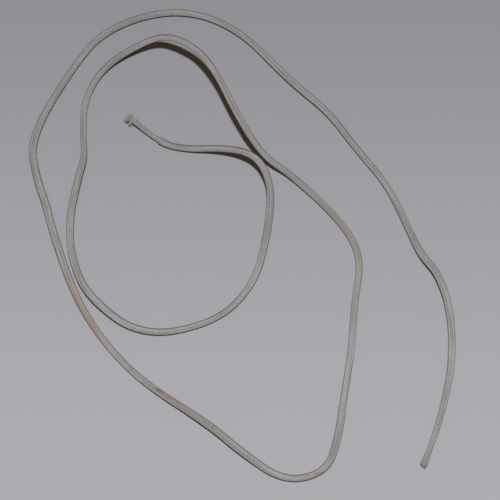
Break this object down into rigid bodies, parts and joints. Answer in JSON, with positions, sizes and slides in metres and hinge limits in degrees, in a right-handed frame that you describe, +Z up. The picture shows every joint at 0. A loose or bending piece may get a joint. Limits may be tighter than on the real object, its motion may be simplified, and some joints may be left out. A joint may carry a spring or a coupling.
{
  "type": "braided cord",
  "caption": "Round off-white braided textile cord lying in a loose open spiral, its inner end frayed into loose yarns and its outer end cut at a slant.",
  "frame": {"origin": "middle of the footprint of the laid cord, on the surface that it lies on", "axes": "+Z up from the surface, +X to the right and +Y to the top of the lay as seen from above; the lay is longest along Y"},
  "size_m": [0.1917, 0.213, 0.0158],
  "materials": {
    "sheath": "matt braided cotton, greyed off-white",
    "core": "matt cotton yarn, off-white",
    "frayed_yarn": "matt loose cotton yarn, off-white, a little dirty",
    "cut_yarn": "matt cut cotton yarn, greyed"
  },
  "bodies": {
    "root": {"braided_sheath": "sheath", "core_bundle": "core", "frayed_sheath_yarn_1": "frayed_yarn", "frayed_sheath_yarn_2": "frayed_yarn", "frayed_sheath_yarn_3": "frayed_yarn", "frayed_sheath_yarn_4": "frayed_yarn", "frayed_sheath_yarn_5": "frayed_yarn", "frayed_sheath_yarn_6": "frayed_yarn", "frayed_sheath_yarn_7": "frayed_yarn", "frayed_sheath_yarn_8": "frayed_yarn", "frayed_core_yarn_1": "core", "frayed_core_yarn_2": "core", "frayed_core_yarn_3": "core", "cut_sheath_yarn_1": "cut_yarn", "cut_sheath_yarn_2": "cut_yarn", "cut_sheath_yarn_3": "cut_yarn", "cut_sheath_yarn_4": "cut_yarn", "cut_sheath_yarn_5": "cut_yarn", "cut_sheath_yarn_6": "cut_yarn", "cut_sheath_yarn_7": "cut_yarn", "cut_sheath_yarn_8": "cut_yarn"}
  },
  "joints": []
}
